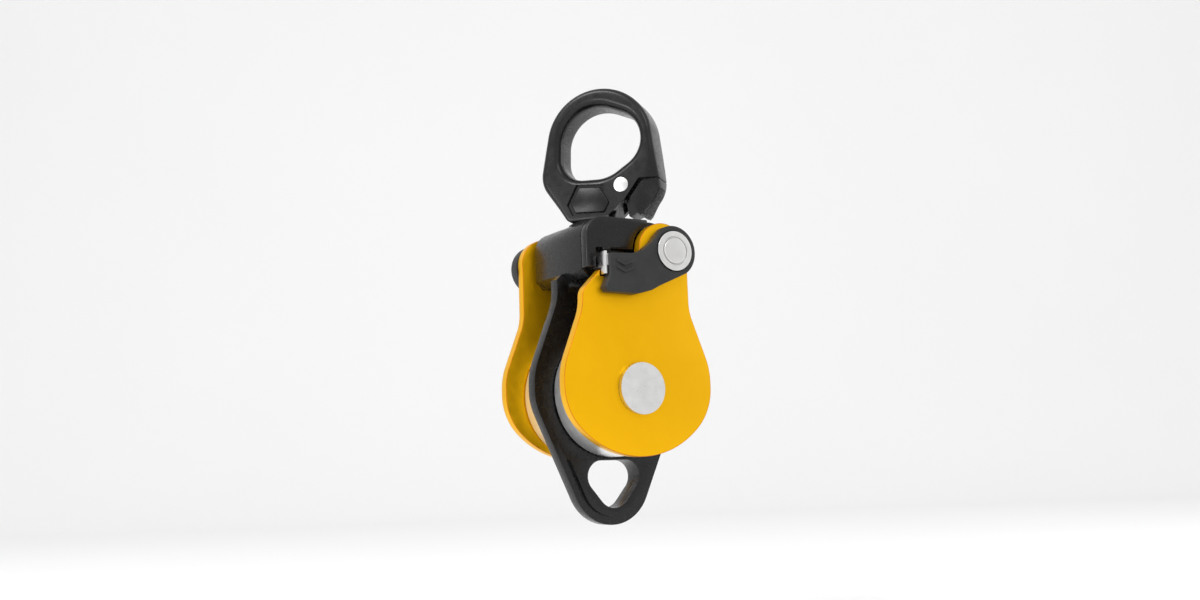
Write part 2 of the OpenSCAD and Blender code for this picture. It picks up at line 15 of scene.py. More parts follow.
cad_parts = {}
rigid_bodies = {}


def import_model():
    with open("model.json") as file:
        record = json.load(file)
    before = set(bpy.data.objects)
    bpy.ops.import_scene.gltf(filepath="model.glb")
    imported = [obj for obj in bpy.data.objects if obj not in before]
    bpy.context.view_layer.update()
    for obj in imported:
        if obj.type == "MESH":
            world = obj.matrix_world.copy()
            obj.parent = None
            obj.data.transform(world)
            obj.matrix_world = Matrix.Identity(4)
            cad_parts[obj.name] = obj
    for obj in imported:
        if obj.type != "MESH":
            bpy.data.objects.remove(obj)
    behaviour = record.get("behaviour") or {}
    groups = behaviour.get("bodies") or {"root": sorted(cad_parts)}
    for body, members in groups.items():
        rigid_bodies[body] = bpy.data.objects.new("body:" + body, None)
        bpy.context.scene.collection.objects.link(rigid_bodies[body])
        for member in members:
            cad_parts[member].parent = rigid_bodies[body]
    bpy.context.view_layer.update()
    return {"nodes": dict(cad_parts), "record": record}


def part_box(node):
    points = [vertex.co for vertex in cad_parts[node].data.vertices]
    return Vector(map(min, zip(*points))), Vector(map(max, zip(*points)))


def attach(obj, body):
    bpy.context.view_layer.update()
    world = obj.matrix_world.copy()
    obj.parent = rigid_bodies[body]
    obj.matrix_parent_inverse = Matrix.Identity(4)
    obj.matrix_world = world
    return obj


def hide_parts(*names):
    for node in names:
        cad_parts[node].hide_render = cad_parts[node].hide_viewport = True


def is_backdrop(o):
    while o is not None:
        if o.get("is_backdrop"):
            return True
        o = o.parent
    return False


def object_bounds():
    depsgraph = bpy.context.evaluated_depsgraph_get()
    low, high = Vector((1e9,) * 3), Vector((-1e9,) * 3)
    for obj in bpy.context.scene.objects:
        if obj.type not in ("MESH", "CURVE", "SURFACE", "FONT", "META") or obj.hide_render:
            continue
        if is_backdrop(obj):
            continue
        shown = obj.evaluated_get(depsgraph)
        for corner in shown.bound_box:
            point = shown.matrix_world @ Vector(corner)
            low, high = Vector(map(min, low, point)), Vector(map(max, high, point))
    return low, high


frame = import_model()

LOG = logging.getLogger("pulley")
MM = 0.001
TAU = 2 * math.pi
ARC_STEP = math.radians(2.5)
SHARP = math.radians(35)
WAVE_PERIOD = 0.314  # distance between a wave texture's rings at scale 1

Point = tuple[float, float]
Loop = list[Point]


class Side(Enum):
    """The two sides of the pulley; the rear one is the front one after half a turn about Z."""

    FRONT = "front"
    REAR = "rear"

    @property
    def turn(self) -> Matrix:
        """Turn that carries the front side onto this side."""
        return Matrix.Rotation(0.0 if self is Side.FRONT else math.pi, 4, "Z")


class Slot(Enum):
    """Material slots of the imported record."""

    BLACK = "black_anodised"
    YELLOW = "yellow_anodised"
    BRIGHT = "bright_aluminium"
    STEEL = "steel"
    BRIGHT_STEEL = "bright_steel"
    PLASTIC = "lever_plastic"
    RUBBER = "seal_rubber"


# ---------------------------------------------------------------- finishes


class NodeTree:
    """A node tree with short calls for adding and joining nodes."""

    def __init__(self, tree: bpy.types.NodeTree) -> None:
        """Keeps the tree."""
        self.tree = tree

    def add(self, kind: str, **values: object) -> bpy.types.Node:
        """Adds a node and sets its inputs by name, or its properties.

        Args:
            kind: The node's type name.
            **values: Input or property names with their values.

        Returns:
            The new node.
        """
        node = self.tree.nodes.new(kind)
        for key, value in values.items():
            if key in node.inputs:
                node.inputs[key].default_value = value
            else:
                setattr(node, key, value)
        return node

    def join(self, source: bpy.types.NodeSocket, target: bpy.types.NodeSocket) -> None:
        """Joins two sockets."""
        self.tree.links.new(source, target)


class Graph(NodeTree):
    """A material's node tree, which starts from Object coordinates."""

    def __init__(self, name: str) -> None:
        """Starts an empty node material.

        Args:
            name: The material's name.
        """
        self.material = bpy.data.materials.new(name)
        self.material.use_nodes = True
        super().__init__(self.material.node_tree)
        self.shader = self.tree.nodes["Principled BSDF"]
        self.place = self.add("ShaderNodeTexCoord").outputs["Object"]

    def noise(self, scale: float, detail: float, source: bpy.types.NodeSocket) -> bpy.types.NodeSocket:
        """Adds a noise pattern.

        Args:
            scale: Cells per metre.
            detail: Number of octaves.
            source: Coordinates that it reads.

        Returns:
            The pattern's value, from 0 to 1.
        """
        node = self.add("ShaderNodeTexNoise", Scale=scale, Detail=detail, Roughness=0.55)
        self.join(source, node.inputs["Vector"])
        return node.outputs["Fac"]

    def remap(self, source: bpy.types.NodeSocket, low: Point, high: Point) -> bpy.types.NodeSocket:
        """Stretches a value.

        Args:
            source: The value.
            low: An input value and what it becomes.
            high: A second input value and what it becomes.

        Returns:
            The stretched value.
        """
        node = self.add("ShaderNodeMapRange")
        node.inputs["From Min"].default_value, node.inputs["To Min"].default_value = low
        node.inputs["From Max"].default_value, node.inputs["To Max"].default_value = high
        self.join(source, node.inputs["Value"])
        return node.outputs["Result"]

    def mix(
        self, factor: bpy.types.NodeSocket, first: tuple[float, ...], second: tuple[float, ...]
    ) -> bpy.types.NodeSocket:
        """Mixes two colours.

        Args:
            factor: Share of the second colour.
            first: Colour where factor is 0.
            second: Colour where factor is 1.

        Returns:
            The mixed colour.
        """
        node = self.add("ShaderNodeMix", data_type="RGBA")
        for socket, value in ((node.inputs[6], first), (node.inputs[7], second)):
            socket.default_value = (*value, 1.0)
        self.join(factor, node.inputs[0])
        return node.outputs[2]

    def bump(
        self,
        height: bpy.types.NodeSocket,
        depth: float,
        before: bpy.types.NodeSocket | None = None,
    ) -> bpy.types.NodeSocket:
        """Adds a bump.

        Args:
            height: The height pattern, from 0 to 1.
            depth: Its depth in metres.
            before: A bump that this one is added to.

        Returns:
            The bumped normal.
        """
        node = self.add("ShaderNodeBump", Strength=1.0, Distance=depth)
        self.join(height, node.inputs["Height"])
        if before is not None:
            self.join(before, node.inputs["Normal"])
        return node.outputs["Normal"]


@dataclass(frozen=True)
class Finish:
    """A surface finish with fine grain, soft blotches and uneven gloss.

    Sizes are in millimetres: grain is the size of the finest grain and blotch of the soft tone changes.
    """

    name: str
    colour: tuple[float, float, float]
    worn: tuple[float, float, float]
    metallic: float
    roughness: float
    gloss_spread: float = 0.06
    grain: float = 0.25
    grain_depth: float = 0.004
    blotch: float = 14.0
    specular: float = 0.5
    slot: Slot = Slot.BLACK

    def material(self) -> bpy.types.Material:
        """Builds the finish's material, or finds the one already built.

        Returns:
            The material.
        """
        made = bpy.data.materials.get(self.name)
        if made is not None:
            return made
        graph = Graph(self.name)
        self.paint(graph)
        return graph.material

    def paint(self, graph: Graph) -> bpy.types.NodeSocket:
        """Adds the colour, gloss and grain.

        Args:
            graph: The material's graph.

        Returns:
            The bumped normal, for finishes that add more to it.
        """
        shader = graph.shader.inputs
        shader["Metallic"].default_value = self.metallic
        shader["Specular IOR Level"].default_value = self.specular
        soft = graph.noise(1 / (self.blotch * MM), 3.0, graph.place)
        share = graph.remap(soft, (0.35, 0.0), (0.75, 1.0))
        graph.join(graph.mix(share, self.colour, self.worn), shader["Base Color"])
        fine = graph.noise(1 / (self.grain * MM), 2.0, graph.place)
        scuff = graph.noise(1 / (3.2 * MM), 4.0, graph.place)
        gloss = graph.remap(
            scuff, (0.3, self.roughness - self.gloss_spread), (0.7, self.roughness + self.gloss_spread)
        )
        graph.join(gloss, shader["Roughness"])
        normal = graph.bump(fine, self.grain_depth * MM)
        graph.join(normal, shader["Normal"])
        return normal


@dataclass(frozen=True)
class TurnedFinish(Finish):
    """A turned face: fine rings about an axis along Y, on top of the plain finish."""

    centre: tuple[float, float, float] = (0.0, 0.0, 0.0)
    pitch: float = 0.22
    ring_depth: float = 0.004

    def paint(self, graph: Graph) -> bpy.types.NodeSocket:
        """Adds the rings to the plain finish.

        Args:
            graph: The material's graph.

        Returns:
            The bumped normal.
        """
        normal = super().paint(graph)
        moved = graph.add("ShaderNodeMapping")
        moved.inputs["Location"].default_value = tuple(-v for v in self.centre)
        graph.join(graph.place, moved.inputs["Vector"])
        rings = graph.add(
            "ShaderNodeTexWave", wave_type="RINGS", rings_direction="Y", Distortion=0.6, Detail=2.0,
            Scale=WAVE_PERIOD / (self.pitch * MM),
        )
        rings.inputs["Detail Scale"].default_value = 2.0
        graph.join(moved.outputs["Vector"], rings.inputs["Vector"])
        normal = graph.bump(rings.outputs["Fac"], self.ring_depth * MM, normal)
        graph.join(normal, graph.shader.inputs["Normal"])
        return normal


BLACK = Finish(
    "dark_anodising", (0.0028, 0.0029, 0.0032), (0.0048, 0.005, 0.0054), 0.0, 0.27,
    grain=0.3, grain_depth=0.004, specular=0.34,
)
# Painted highlight: a lighter, glossier copy of the dark anodising, put on the rounded edges of the frame and
# keepers.
BLACK_PAINTED_EDGE_HIGHLIGHT = Finish(
    "dark_anodising_painted_edge_highlight", (0.006, 0.0062, 0.0068), (0.010, 0.0104, 0.0112), 0.0, 0.3,
    grain_depth=0.003, specular=0.42,
)
DARK_PLASTIC = Finish(
    "dark_plastic", (0.016, 0.0162, 0.0166), (0.022, 0.0222, 0.0228), 0.0, 0.5,
    grain=0.35, grain_depth=0.012, blotch=6.0, specular=0.32, slot=Slot.PLASTIC,
)
YELLOW = Finish(
    "golden_anodising", (0.80, 0.42, 0.002), (0.83, 0.44, 0.003), 0.78, 0.36,
    grain=0.22, grain_depth=0.004, blotch=18.0, specular=0.2, slot=Slot.YELLOW,
)
# Painted shade: a darker, redder copy of the golden anodising, put on the plates' rounded edges.
YELLOW_PAINTED_EDGE_SHADE = Finish(
    "golden_anodising_painted_edge_shade", (0.55, 0.16, 0.002), (0.60, 0.19, 0.003), 0.7, 0.34,
    grain_depth=0.003, slot=Slot.YELLOW,
)
STEEL = Finish(
    "plain_steel", (0.42, 0.425, 0.43), (0.50, 0.50, 0.51), 1.0, 0.32,
    grain=0.2, grain_depth=0.002, slot=Slot.STEEL,
)
BRIGHT_STEEL = Finish(
    "polished_steel", (0.66, 0.66, 0.655), (0.74, 0.74, 0.73), 1.0, 0.3,
    grain=0.15, grain_depth=0.002, blotch=5.0, slot=Slot.BRIGHT_STEEL,
)
RUBBER = Finish(
    "dark_rubber", (0.012, 0.012, 0.012), (0.02, 0.02, 0.02), 0.0, 0.7,
    grain=0.4, grain_depth=0.01, specular=0.3, slot=Slot.RUBBER,
)


# ---------------------------------------------------------------- meshes


def arc(centre: Point, radius: float, start: float, end: float) -> Loop:
    """Points of a circular arc.

    Args:
        centre: The circle's centre.
        radius: Its radius.
        start: First angle in degrees.
        end: Last angle in degrees; below start it runs clockwise.

    Returns:
        The points, both ends included.
    """
    span = math.radians(end - start)
    count = max(2, math.ceil(abs(span) / ARC_STEP) + 1)
    angles = (math.radians(start) + span * i / (count - 1) for i in range(count))
    return [(centre[0] + radius * math.cos(a), centre[1] + radius * math.sin(a)) for a in angles]


def offset(centre: Point, *steps: Point) -> Loop:
    """Points given by their distances from a centre."""
    return [(centre[0] + across, centre[1] + up) for across, up in steps]


def hull(points: Iterable[Point]) -> Loop:
    """Convex hull of points.

    Args:
        points: The points.

    Returns:
        The hull, anticlockwise.
    """
    ordered = sorted(set(points))

    def half(source: Iterable[Point]) -> Loop:
        """One chain of the hull.

        Args:
            source: The points in order.

        Returns:
            The chain, without its last point.
        """
        chain: Loop = []
        for p in source:
            while len(chain) > 1 and cross(chain[-2], chain[-1], p) <= 0:
                chain.pop()
            chain.append(p)
        return chain[:-1]

    return half(ordered) + half(reversed(ordered))


def wrap(rounds: Iterable[tuple[Point, float]], corners: Iterable[Point] = ()) -> Loop:
    """Convex outline round circles and points.

    Args:
        rounds: Centre and radius of each circle.
        corners: The points.

    Returns:
        The outline, anticlockwise.
    """
    return hull([*(p for centre, r in rounds for p in arc(centre, r, 0.0, 360.0)), *corners])


def cross(o: Point, a: Point, b: Point) -> float:
    """Twice the area of the triangle o, a, b."""
    return (a[0] - o[0]) * (b[1] - o[1]) - (a[1] - o[1]) * (b[0] - o[0])


def reach(loop: Loop, centre: Point, angle: float) -> float:
    """Distance from a centre to a convex loop round it.

    Args:
        loop: The loop.
        centre: A point inside it.
        angle: Direction in radians.

    Returns:
        The distance along that direction.
    """
    dx, dy = math.cos(angle), math.sin(angle)
    best = 0.0
    for (x0, y0), (x1, y1) in zip(loop, loop[1:] + loop[:1]):
        ex, ey = x1 - x0, y1 - y0
        bottom = dx * ey - dy * ex
        if abs(bottom) < 1e-12:
            continue
        t = ((x0 - centre[0]) * ey - (y0 - centre[1]) * ex) / bottom
        s = ((x0 - centre[0]) * dy - (y0 - centre[1]) * dx) / bottom
        if t > 0 and -1e-9 <= s <= 1 + 1e-9:
            best = max(best, t)
    return best


def clean(loop: Loop, gap: float = 0.02) -> Loop:
    """A loop without points that nearly repeat the one before.

    Args:
        loop: The loop.
        gap: Least distance between points, in millimetres.

    Returns:
        The cleaned loop.
    """
    kept: Loop = []
    for p in loop:
        if not kept or math.dist(p, kept[-1]) > gap:
            kept.append(p)
    if math.dist(kept[0], kept[-1]) <= gap:
        kept.pop()
    return kept


def add_object(name: str, data: bpy.types.ID) -> bpy.types.Object:
    """Puts a mesh, lamp or camera into the scene.

    Args:
        name: The object's name.
        data: What it shows.

    Returns:
        The object.
    """
    obj = bpy.data.objects.new(name, data)
    bpy.context.scene.collection.objects.link(obj)
    return obj


def mesh_object(name: str, bm: bmesh.types.BMesh) -> bpy.types.Object:
    """Turns an edited mesh into an object and frees it.

    Args:
        name: The object's name.
        bm: The edited mesh.

    Returns:
        The object.
    """
    mesh = bpy.data.meshes.new(name)
    bm.to_mesh(mesh)
    bm.free()
    return add_object(name, mesh)


def solid(build: Callable[[bmesh.types.BMesh], None], name: str, place: Matrix) -> bpy.types.Object:
    """Makes an object from a function that fills a mesh in millimetres.

    Args:
        build: Function that fills the mesh.
        name: The object's name.
        place: Where the mesh goes, in millimetres.

    Returns:
        The object, at the origin, with its place in its mesh.
    """
    bm = bmesh.new()
    build(bm)
    bmesh.ops.transform(bm, matrix=Matrix.Scale(MM, 4) @ place, verts=bm.verts)
    bmesh.ops.recalc_face_normals(bm, faces=bm.faces)
    return mesh_object(name, bm)


def prism(loop: Loop, y0: float, y1: float, name: str, place: Matrix) -> bpy.types.Object:
    """A flat outline in X and Z that stands between two depths.

    Args:
        loop: The outline.
        y0: Its front depth.
        y1: Its rear depth.
        name: The object's name.
        place: Where it goes, in millimetres.

    Returns:
        The closed solid.
    """

    def build(bm: bmesh.types.BMesh) -> None:
        """Fills the mesh.

        Args:
            bm: The mesh, in millimetres.
        """
        face = bm.faces.new([bm.verts.new((x, y0, z)) for x, z in clean(loop)])
        made = bmesh.ops.extrude_face_region(bm, geom=[face])["geom"]
        moved = [v for v in made if isinstance(v, bmesh.types.BMVert)]
        bmesh.ops.translate(bm, vec=(0, y1 - y0, 0), verts=moved)

    return solid(build, name, place)


def lathe(profile: Loop, name: str, place: Matrix, steps: int = 96) -> bpy.types.Object:
    """A turned solid about the Y axis.

    Args:
        profile: Closed profile as (radius, depth) points.
        name: The object's name.
        place: Where it goes, in millimetres.
        steps: Number of steps round it.

    Returns:
        The closed solid.
    """

    def build(bm: bmesh.types.BMesh) -> None:
        """Fills the mesh.

        Args:
            bm: The mesh, in millimetres.
        """
        rings = []
        for r, y in profile:
            if r < 1e-6:
                rings.append([bm.verts.new((0, y, 0))] * steps)
                continue
            turn = (TAU * i / steps for i in range(steps))
            rings.append([bm.verts.new((r * math.cos(a), y, r * math.sin(a))) for a in turn])
        closed = profile[0][0] > 1e-6
        pairs = list(zip(rings, rings[1:] + rings[:1])) if closed else list(zip(rings, rings[1:]))
        for low, high in pairs:
            for i in range(steps):
                j = (i + 1) % steps
                corners = list(dict.fromkeys((low[i], low[j], high[j], high[i])))
                if len(corners) > 2:
                    bm.faces.new(corners)

    return solid(build, name, place)


def rounded(profile: Loop, radius: float, steps: int = 4) -> Loop:
    """A profile whose corners are rounded, apart from those on the axis.

    Args:
        profile: The corner points.
        radius: Radius of the rounding, cut back where an edge is short.
        steps: Points along each rounding.

    Returns:
        The rounded profile.
    """
    made: Loop = []
    count = len(profile)
    for i, p in enumerate(profile):
        before, after = Vector(profile[i - 1]), Vector(profile[(i + 1) % count])
        corner = Vector(p)
        if p[0] < 1e-6:
            made.append(p)
            continue
        cut = min(radius, 0.45 * (before - corner).length, 0.45 * (after - corner).length)
        start = corner + (before - corner).normalized() * cut
        end = corner + (after - corner).normalized() * cut
        for k in range(steps + 1):
            t = k / steps
            q = start * (1 - t) ** 2 + corner * 2 * t * (1 - t) + end * t * t
            made.append((q.x, q.y))
    return made


def settle(obj: bpy.types.Object) -> None:
    """Turns an object's modifiers into plain mesh.

    Args:
        obj: The object.
    """
    graph = bpy.context.evaluated_depsgraph_get()
    graph.update()
    mesh = bpy.data.meshes.new_from_object(obj.evaluated_get(graph))
    obj.modifiers.clear()
    obj.data = mesh


def smooth(obj: bpy.types.Object, angle: float = SHARP) -> bpy.types.Object:
    """Shades an object smoothly, apart from its sharp edges.

    Args:
        obj: The object.
        angle: Angle above which an edge is sharp.

    Returns:
        The same object.
    """
    obj.data.polygons.foreach_set("use_smooth", [True] * len(obj.data.polygons))
    obj.data.set_sharp_from_angle(angle=angle)
    return obj


def bevel(obj: bpy.types.Object, width: float, steps: int = 3, slot: int = -1) -> None:
    """Rounds an object's sharp edges.

    Args:
        obj: The object.
        width: Width of the rounding in millimetres.
        steps: Faces across the rounding.
        slot: Material slot of the rounding, or -1 for the faces' own.
    """
    tool = obj.modifiers.new("rounding", "BEVEL")
    tool.width = width * MM
    tool.segments = steps
    tool.limit_method = "ANGLE"
    tool.angle_limit = SHARP
    tool.use_clamp_overlap = True
    tool.harden_normals = False
    tool.material = slot
    settle(obj)
    smooth(obj, math.radians(50))


def cut(obj: bpy.types.Object, others: Iterable[bpy.types.Object], way: str = "DIFFERENCE") -> None:
    """Cuts solids out of an object, or keeps what it shares with them.

    Args:
        obj: The object.
        others: The cutting solids, which are used up.
        way: DIFFERENCE or INTERSECT.
    """
    for other in others:
        tool = obj.modifiers.new("cut", "BOOLEAN")
        tool.operation = way
        tool.solver = "EXACT"
        tool.object = other
        settle(obj)
        bpy.data.objects.remove(other)


def copy_of(node: str, name: str) -> bpy.types.Object:
    """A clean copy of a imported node's mesh: doubles merged and flat faces made whole.

    Args:
        node: The node.
        name: The copy's name.

    Returns:
        The copy.
    """
    bm = bmesh.new()
    bm.from_mesh(frame["nodes"][node].data)
    bmesh.ops.remove_doubles(bm, verts=bm.verts, dist=0.002 * MM)
    bmesh.ops.dissolve_limit(bm, angle_limit=math.radians(1.0), verts=bm.verts, edges=bm.edges)
    return mesh_object(name, bm)


def dress(obj: bpy.types.Object, *finishes: Finish) -> None:
    """Gives an object its finishes.

    Args:
        obj: The object.
        *finishes: Its finishes, one per material slot.
    """
    obj.data.materials.clear()
    for finish in finishes:
        obj.data.materials.append(finish.material())


def place_piece(obj: bpy.types.Object, body: str, *nodes: str) -> None:
    """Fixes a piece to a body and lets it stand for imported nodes.

    Args:
        obj: The piece.
        body: The body that it moves with.
        *nodes: The nodes that it replaces.
    """
    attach(obj, body)
    if nodes:
        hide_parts(*nodes)
    LOG.info("%s rides on %s, %d faces", obj.name, body, len(obj.data.polygons))


def span(node: str) -> tuple[Vector, Vector]:
    """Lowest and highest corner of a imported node, in millimetres."""
    low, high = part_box(node)
    return low / MM, high / MM


# ---------------------------------------------------------------- repeated shapes


class NodeTool(NodeTree):
    """A Geometry Nodes tree that ends in Realize Instances and Set Material."""

    def __init__(self, name: str, inputs: dict[str, tuple[str, float]]) -> None:
        """Starts the tree.

        Args:
            name: The tree's name.
            inputs: Input names with their socket type and value.
        """
        super().__init__(bpy.data.node_groups.new(name, "GeometryNodeTree"))
        face = self.tree.interface
        face.new_socket("Geometry", in_out="INPUT", socket_type="NodeSocketGeometry")
        face.new_socket("Geometry", in_out="OUTPUT", socket_type="NodeSocketGeometry")
        self.ids: dict[str, str] = {}
        for key, (kind, value) in inputs.items():
            socket = face.new_socket(key, in_out="INPUT", socket_type=kind)
            socket.default_value = value
            self.ids[key] = socket.identifier
        self.start = self.tree.nodes.new("NodeGroupInput")
        self.end = self.tree.nodes.new("NodeGroupOutput")

    def close(self, geometry: bpy.types.NodeSocket, finish: Finish) -> None:
        """Ends the tree with realized geometry in one finish.

        Args:
            geometry: What the tree has made.
            finish: Its finish.
        """
        real = self.add("GeometryNodeRealizeInstances")
        paint = self.add("GeometryNodeSetMaterial")
        paint.inputs["Material"].default_value = finish.material()
        self.join(geometry, real.inputs[0])
        self.join(real.outputs[0], paint.inputs["Geometry"])
        self.join(paint.outputs[0], self.end.inputs[0])

    def run(self, name: str, base: bpy.types.Object, **sizes: float) -> bpy.types.Object:
        """Runs the tree on an object and returns plain mesh.

        Args:
            name: Name of the result.
            base: The object that the tree reads.
            **sizes: Values for the tree's inputs.

        Returns:
            The result.
        """
        tool = base.modifiers.new(name, "NODES")
        tool.node_group = self.tree
        for key, value in sizes.items():
            tool[self.ids[key]] = value
        settle(base)
        base.name = name
        return base


def ring_array(finish: Finish) -> NodeTool:
    """Tree that repeats the object it is put on round the Z axis.

    Args:
        finish: The copies' finish.

    Returns:
        The tree, with the inputs Count, Radius and Height.
    """
    tool = NodeTool(
        "ring_array",
        {
            "Count": ("NodeSocketInt", 48), "Radius": ("NodeSocketFloat", 0.01),
            "Height": ("NodeSocketFloat", 0.0),
        },
    )
    circle = tool.add("GeometryNodeMeshCircle")
    lift = tool.add("GeometryNodeTransform")
    raise_by = tool.add("ShaderNodeCombineXYZ")
    spots = tool.add("GeometryNodeInstanceOnPoints")
    where = tool.add("GeometryNodeInputPosition")
    facing = tool.add("FunctionNodeAlignEulerToVector", axis="X")
    flat = tool.add("ShaderNodeVectorMath", operation="MULTIPLY")
    flat.inputs[1].default_value = (1.0, 1.0, 0.0)
    start = tool.start.outputs
    tool.join(start["Count"], circle.inputs["Vertices"])
    tool.join(start["Radius"], circle.inputs["Radius"])
    tool.join(start["Height"], raise_by.inputs["Z"])
    tool.join(circle.outputs["Mesh"], lift.inputs["Geometry"])
    tool.join(raise_by.outputs[0], lift.inputs["Translation"])
    tool.join(where.outputs[0], flat.inputs[0])
    tool.join(flat.outputs[0], facing.inputs["Vector"])
    tool.join(lift.outputs[0], spots.inputs["Points"])
    tool.join(start["Geometry"], spots.inputs["Instance"])
    tool.join(facing.outputs[0], spots.inputs["Rotation"])
    tool.close(spots.outputs[0], finish)
    return tool


def coil(finish: Finish) -> NodeTool:
    """Tree that winds a round wire into a helix about the Z axis.

    Args:
        finish: The wire's finish.

    Returns:
        The tree, with the inputs Turns, Radius, Length and Wire.
    """
    tool = NodeTool(
        "wire_coil",
        {
            "Turns": ("NodeSocketFloat", 3.0), "Radius": ("NodeSocketFloat", 0.005),
            "Length": ("NodeSocketFloat", 0.002), "Wire": ("NodeSocketFloat", 0.0004),
        },
    )
    spiral = tool.add("GeometryNodeCurveSpiral", Resolution=40)
    circle = tool.add("GeometryNodeCurvePrimitiveCircle", Resolution=10)
    sweep = tool.add("GeometryNodeCurveToMesh")
    sweep.inputs["Fill Caps"].default_value = True
    start = tool.start.outputs
    tool.join(start["Turns"], spiral.inputs["Rotations"])
    tool.join(start["Radius"], spiral.inputs["Start Radius"])
    tool.join(start["Radius"], spiral.inputs["End Radius"])
    tool.join(start["Length"], spiral.inputs["Height"])
    tool.join(start["Wire"], circle.inputs["Radius"])
    tool.join(spiral.outputs[0], sweep.inputs["Curve"])
    tool.join(circle.outputs[0], sweep.inputs["Profile Curve"])
    tool.close(sweep.outputs[0], finish)
    return tool


# ---------------------------------------------------------------- sub-assemblies


@dataclass
class PlateShape:
    """Outline of the plates, in millimetres about the sheaves' axle."""

    half_width: float
    low: float
    neck: float = 24.5
    side_x: float = 11.0
    side_z: float = 1.0
    shoulder_x: float = 7.0
    shoulder_z: float = 3.0
    shoulder_angle: float = 21.5
    neck_r: float = 20.0

    def side(self) -> Loop:
        """Right half of the lower outline.

        Returns:
            Its points, from the bottom's middle up to the neck.
        """
        slope = math.radians(self.shoulder_angle)
        side_r = self.half_width - self.side_x
        reach_low = self.low + self.side_z
        across = self.half_width - side_r
        bottom_r = (across**2 + reach_low**2 - side_r**2) / (2 * (reach_low - side_r))
        bottom_z = bottom_r - self.low
        turn = math.degrees(math.atan2(self.side_z - bottom_z, across))
        shoulder_r = self.half_width - self.shoulder_x
        shoulder_end = self.shoulder_x + shoulder_r * math.cos(slope)
        top = self.shoulder_z + shoulder_r * math.sin(slope)
        neck_z = top + (shoulder_end - self.neck) / math.tan(slope)
        rise = self.neck_r * math.tan(math.radians(self.shoulder_angle / 2))
        neck_centre = (self.neck + self.neck_r, neck_z + rise)
        return (
            arc((0.0, bottom_z), bottom_r, -90.0, turn)
            + arc((across, self.side_z), side_r, turn, 0.0)
            + arc((self.shoulder_x, self.shoulder_z), shoulder_r, 0.0, self.shoulder_angle)
            + arc(neck_centre, self.neck_r, 180.0 + self.shoulder_angle, 180.0)
        )


@dataclass
class SidePlates:
    """The two yellow side plates, with a darker painted shade on their rounded edges."""

    lever_x: float = 15.2
    lever_up: float = 53.9
    corner_r: float = 11.3
    shoulder_r: float = 6.0
    seat_gap: float = 0.03
    edge: float = 0.55

    def outline(self, shape: PlateShape) -> Loop:
        """The front plate's outline.

        Args:
            shape: The shared lower outline.

        Returns:
            The closed outline, anticlockwise.
        """
        right = shape.side()
        left = [(-x, z) for x, z in reversed(right)]
        x, z, r = self.lever_x, self.lever_up, self.corner_r
        top = arc((x - 1.9, z + 0.7), r, -10.0, 197.0)
        latch = offset(
            (0.0, z), (-2.0, -3.1), (-11.0, -6.6), (-11.0, -10.8), (-16.3, -10.8), (-16.3, -8.3),
            (-16.7, -8.7),
        )
        shoulder = arc((-shape.neck + self.shoulder_r, z - 19.1), self.shoulder_r, 135.0, 180.0)
        return right + top + latch + shoulder + left

    def build(self, side: Side, axle_z: float, shape: PlateShape) -> None:
        """Makes one plate.

        Args:
            side: Front or rear.
            axle_z: Height of the axle.
            shape: The shared lower outline.
        """
        node = f"{side.value}_side_plate"
        low, high = span("front_side_plate")
        place = side.turn @ Matrix.Translation((0, 0, axle_z))
        obj = prism(self.outline(shape), low.y, high.y - self.seat_gap, f"{node}_piece", place)
        # The second finish, a painted shade, goes on the rounded edges through the bevel's slot.
        dress(obj, YELLOW, YELLOW_PAINTED_EDGE_SHADE)
        bevel(obj, self.edge, 3, 1)
        place_piece(obj, f"{side.value}_plate", node)


@dataclass
class MainFrame:
    """Head, centre plate and lower eye in one piece, with the latch keepers on the head."""

    edge: float = 0.6
    keeper_edge: float = 0.45

    def build(self) -> None:
        """Makes the frame and the keepers."""
        body = copy_of("main_frame", "main_frame_piece")
        # The second finish, a painted highlight, goes on the rounded edges through the bevel's slot.
        dress(body, BLACK, BLACK_PAINTED_EDGE_HIGHLIGHT)
        bevel(body, self.edge, 3, 1)
        place_piece(body, "frame", "main_frame")
        for side in Side:
            node = f"{side.value}_keeper"
            keeper = copy_of(node, f"{node}_piece")
            # The second finish, a painted highlight, goes on the keeper's rounded edges.
            dress(keeper, BLACK, BLACK_PAINTED_EDGE_HIGHLIGHT)
            bevel(keeper, self.keeper_edge, 2, 1)
            place_piece(keeper, "frame", node)


@dataclass
class Axle:
    """The axle's two bright turned heads."""

    crown: float = 0.3
    rim: float = 1.3
    groove: float = 0.5
    thick: float = 2.0

    def head(self, name: str, node: str, outward: float, axle_z: float) -> None:
        """Makes one head with a chamfered rim and a slightly crowned face.

        Args:
            name: The piece's name.
            node: The node that gives the head's size.
            outward: -1 for the front head, 1 for the rear one.
            axle_z: Height of the axle.
        """
        low, high = span(node)
        face = (low.y if outward < 0 else high.y) * outward
        r = (high.x - low.x) / 2
        base = face - self.thick
        low_face = face - self.crown
        inner = r - self.rim
        profile = rounded([
            (0.0, face), (inner - self.groove, low_face), (inner - 0.2, low_face - self.groove),
            (inner, low_face), (r, low_face - self.rim * 0.8), (r, base), (0.0, base),
        ], 0.12)
        obj = lathe([(a, b * outward) for a, b in profile], name, Matrix.Translation((0, 0, axle_z)))
        finish = TurnedFinish(
            f"turned_{name}", (0.60, 0.595, 0.585), (0.68, 0.675, 0.665), 1.0, 0.33,
            grain=0.2, grain_depth=0.002, slot=Slot.BRIGHT_STEEL, ring_depth=0.006,
            centre=(0.0, face * outward * MM, axle_z * MM),
        )
        dress(smooth(obj), finish)
        place_piece(obj, "frame")

    def build(self, axle_z: float) -> None:
        """Makes both heads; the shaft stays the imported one."""
        self.head("front_axle_head", "axle", -1.0, axle_z)
        self.head("rear_axle_head", "axle_cap", 1.0, axle_z)


